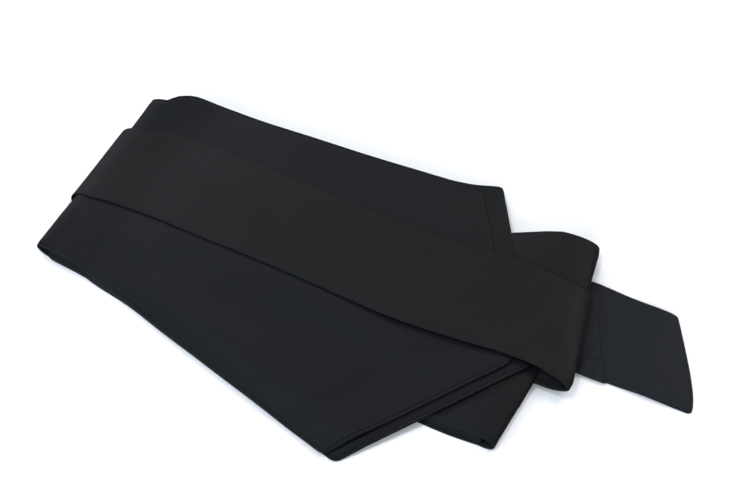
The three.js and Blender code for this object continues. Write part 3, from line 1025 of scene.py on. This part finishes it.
class SashStage(bpy.types.PropertyGroup):
    elevation: bpy.props.FloatProperty(
        name="Elevation", description="How far above the floor the camera looks from",
        default=math.radians(55), subtype="ANGLE",
    )
    turn: bpy.props.FloatProperty(
        name="Turn", description="How far round the sash the camera stands",
        default=math.radians(29.34), subtype="ANGLE",
    )
    distance: bpy.props.FloatProperty(
        name="Distance", description="From the camera to the floor in the middle of its view",
        default=1.09375, unit="LENGTH",
    )
    lens: bpy.props.FloatProperty(
        name="Lens", description="Focal length in millimetres", default=75, subtype="NONE",
    )
    floor: bpy.props.FloatProperty(
        name="Floor", description="Width of the white floor", default=8, unit="LENGTH",
    )


# The pieces

def panel_satin():
    colours = bpy.context.scene.sash_colours
    sheen = bpy.context.scene.sash_cloth.panel_sheen
    return satin("PanelSatin", colours.panel, colours.panel_handled, PANEL_SPECULAR, sheen)


def tie_satin():
    colours = bpy.context.scene.sash_colours
    sheen = bpy.context.scene.sash_cloth.tie_sheen
    return satin("TieSatin", colours.tie, colours.tie_handled, TIE_SPECULAR, sheen)


# A lighter, bluer copy of the tie's satin for the free ends: painted light that stands in for the
# light they catch.
def lit_tie_end_satin():
    colours = bpy.context.scene.sash_colours
    sheen = bpy.context.scene.sash_cloth.tie_sheen
    return satin("TieEndSatin", colours.end, colours.lit_end_handled, TIE_END_SPECULAR, sheen)


def polyester_thread():
    """Spun polyester thread, which is as black as the cloth and a little duller."""
    colour = bpy.context.scene.sash_colours.thread
    return plain("PolyesterThread", colour, THREAD_ROUGHNESS, THREAD_SPECULAR)


def white_paper():
    colour = bpy.context.scene.sash_colours.floor
    return plain("WhitePaper", colour, PAPER_ROUGHNESS, PAPER_SPECULAR)


def sew(name, form, wall, draw, sides, ends):
    """Adds the edge-stitching of a sheet, along its sides or its ends or both."""
    seams = stitch(name, seam_paths(*form, sides, ends), wall, draw)
    seams.data.materials.append(polyester_thread())
    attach(seams, "root")


class SASH_OT_panel(bpy.types.Operator):
    """Makes the panel: one double sheet, folded over at its middle, with edge-stitching"""

    bl_idname = "sash.panel"
    bl_label = "Panel"

    def execute(self, context):
        wall = context.scene.sash_cloth.panel_wall / MM
        draw = context.scene.sash_cloth.panel_draw
        form = panel_form()
        piece = cloth("panel", *form, wall, side_draw=draw, end_draw=draw)
        dress(
            piece, panel_satin(), ("panel_upper_leaf", "panel_lower_leaf"),
        )
        sew("panel_stitching", form, wall, draw, True, True)
        return {"FINISHED"}


class SASH_OT_band(bpy.types.Operator):
    """Makes the tie that wraps the fold, crosses the panel and loops down past its points"""

    bl_idname = "sash.band"
    bl_label = "Tie over the panel"

    def execute(self, context):
        wall = context.scene.sash_cloth.tie_wall / MM
        piece = cloth("tie_over", *band_form(), wall)
        dress(
            piece, tie_satin(), ("tie_over",),
        )
        return {"FINISHED"}


class SASH_OT_folds(bpy.types.Operator):
    """Makes the stretches of tie that fold back on themselves beside the panel's point. The near
    ones take the panel's satin, which is darker and bluer than the tie's"""

    bl_idname = "sash.folds"
    bl_label = "Folded ties"

    def execute(self, context):
        wall = context.scene.sash_cloth.tie_wall / MM
        near = cloth("tie_near_fold", *folded_form(NEAR_FOLD, wall), wall)
        dress(
            near, panel_satin(), ("tie_near_fold",),
        )
        upper = cloth("tie_near_fold_upper", *flat_form(NEAR_FOLD_UPPER), wall)
        dress(
            upper, panel_satin(), ("tie_near_fold_upper",),
        )
        columns, across, along = folded_form(FAR_LOOP, wall)
        turn = Matrix.Rotation(math.radians(FAR_LOOP_TURN), 3, "Z")
        shift = Vector((FAR_LOOP_PLACE.x, FAR_LOOP_PLACE.y, 0))
        columns = [[turn @ point + shift for point in line] for line in columns]
        loop = cloth("tie_far_loop", columns, across, along, wall)
        dress(
            loop, tie_satin(), ("tie_far_loop",),
        )
        return {"FINISHED"}


class SASH_OT_inside(bpy.types.Operator):
    """Makes the inner layers that show in the openings of the panel's fold and of the near fold"""

    bl_idname = "sash.inside"
    bl_label = "Inner layers"

    def execute(self, context):
        for name, fold, material, slot, cut, below in (
            ("panel_inside", PANEL_INSIDE, panel_satin(), "panel_satin", PANEL_INSIDE_CUT, "panel"),
            ("tie_inside", TIE_INSIDE, panel_satin(), "tie_satin", TIE_INSIDE_CUT, "tie_near_fold"),
        ):
            piece = cloth(name, *folded_form(fold, INSIDE_WALL), INSIDE_WALL)
            dress(piece, material, ())
        return {"FINISHED"}


class SASH_OT_tails(bpy.types.Operator):
    """Makes the two slanted free ends of the ties"""

    bl_idname = "sash.tails"
    bl_label = "Free ends"

    def execute(self, context):
        wall = context.scene.sash_cloth.tie_wall / MM
        for name, rows, slant, cut, below in (
            ("tail_long", TAIL_LONG, TAIL_LONG_END, LONG_CUT, "floor"),
            ("tail_short", TAIL_SHORT, TAIL_SHORT_END, SHORT_CUT, "tail_long"),
        ):
            form = flat_form(rows, slant)
            draw = context.scene.sash_cloth.tie_draw
            piece = cloth(name, *form, wall, end_draw=draw)
            dress(
                piece, lit_tie_end_satin(), (name,),
            )
            sew(name + "_stitching", form, wall, draw, False, True)
        return {"FINISHED"}


class SASH_OT_hidden(bpy.types.Operator):
    """Makes the wound and tucked layers of tie that the panel lies on"""

    bl_idname = "sash.hidden"
    bl_label = "Hidden layers"

    def execute(self, context):
        wall = context.scene.sash_cloth.tie_wall / MM
        for layer in HIDDEN_LAYERS:
            piece = cloth(f"hidden_layer_{layer.order + 1}", *hidden_form(layer), wall)
            dress(
                piece, tie_satin(), ("hidden_layers",),
            )
        return {"FINISHED"}


class SASH_OT_stage(bpy.types.Operator):
    """Makes the white floor, the soft lights and the camera"""

    bl_idname = "sash.stage"
    bl_label = "Stage"

    def execute(self, context):
        stage = context.scene.sash_stage
        mesh = bmesh.new()
        bmesh.ops.create_grid(mesh, x_segments=1, y_segments=1, size=stage.floor / 2)
        data = bpy.data.meshes.new("floor")
        mesh.to_mesh(data)
        mesh.free()
        floor = bpy.data.objects.new("floor", data)
        context.scene.collection.objects.link(floor)
        floor.data.materials.append(white_paper())

        world = bpy.data.worlds.new("Studio")
        world.use_nodes = True
        sky = world.node_tree.nodes["Background"]
        sky.inputs["Color"].default_value = linear(STUDIO_WHITE)
        sky.inputs["Strength"].default_value = STUDIO_STRENGTH
        context.scene.world = world
        context.scene.view_settings.view_transform = "Standard"

        for light in LIGHTS:
            lamp = bpy.data.lights.new(light.name, "AREA")
            lamp.shape = "RECTANGLE"
            lamp.size = light.width
            lamp.size_y = light.height
            lamp.energy = light.power
            lamp.color = linear(light.colour)[:3]
            holder = bpy.data.objects.new(light.name, lamp)
            context.scene.collection.objects.link(holder)
            holder.location = seen(stage, light.right, light.away, light.up)
            holder.rotation_euler = (-holder.location).to_track_quat("-Z", "Y").to_euler()

        camera = bpy.data.cameras.new("Camera")
        camera.lens = stage.lens
        camera.clip_end = CAMERA_SEES
        holder = bpy.data.objects.new("Camera", camera)
        context.scene.collection.objects.link(holder)
        aim = laid(Vector((CAMERA_AIM.x, CAMERA_AIM.y, 0)))
        back = stage.distance * math.cos(stage.elevation)
        up = stage.distance * math.sin(stage.elevation)
        offset = seen(stage, 0, -back, up)
        holder.location = aim + offset
        holder.rotation_euler = (-offset).to_track_quat("-Z", "Y").to_euler()
        context.scene.camera = holder
        return {"FINISHED"}


def seen(stage, right, away, up):
    """A direction as the camera sees it: to the right, away from it along the floor, and up."""
    turn = Matrix.Rotation(stage.turn, 3, "Z")
    return turn @ Vector((right, away, up))


class SASH_PT_sidebar(bpy.types.Panel):
    """Lists the sash's sizes and colours, and the pieces that can be made"""

    bl_idname = "SASH_PT_sidebar"
    bl_label = "Satin Sash"
    bl_space_type = "VIEW_3D"
    bl_region_type = "UI"
    bl_category = "Sash"

    def draw(self, context):
        scene = context.scene
        for group in (scene.sash_cloth, scene.sash_colours, scene.sash_stage):
            for name in group.__annotations__:
                self.layout.prop(group, name)
        for operator in OPERATORS:
            self.layout.operator(operator.bl_idname)


OPERATORS = (
    SASH_OT_stage,
    SASH_OT_hidden,
    SASH_OT_panel,
    SASH_OT_band,
    SASH_OT_folds,
    SASH_OT_inside,
    SASH_OT_tails,
)
CLASSES = (SashCloth, SashColours, SashStage, *OPERATORS, SASH_PT_sidebar)


def register():
    for item in CLASSES:
        bpy.utils.register_class(item)
    bpy.types.Scene.sash_cloth = bpy.props.PointerProperty(type=SashCloth)
    bpy.types.Scene.sash_colours = bpy.props.PointerProperty(type=SashColours)
    bpy.types.Scene.sash_stage = bpy.props.PointerProperty(type=SashStage)


def unregister():
    del bpy.types.Scene.sash_stage
    del bpy.types.Scene.sash_colours
    del bpy.types.Scene.sash_cloth
    for item in reversed(CLASSES):
        bpy.utils.unregister_class(item)


def main():
    register()
    bpy.ops.sash.stage()
    bpy.ops.sash.hidden()
    bpy.ops.sash.panel()
    bpy.ops.sash.band()
    bpy.ops.sash.folds()
    bpy.ops.sash.inside()
    bpy.ops.sash.tails()


if __name__ == "__main__":
    main()
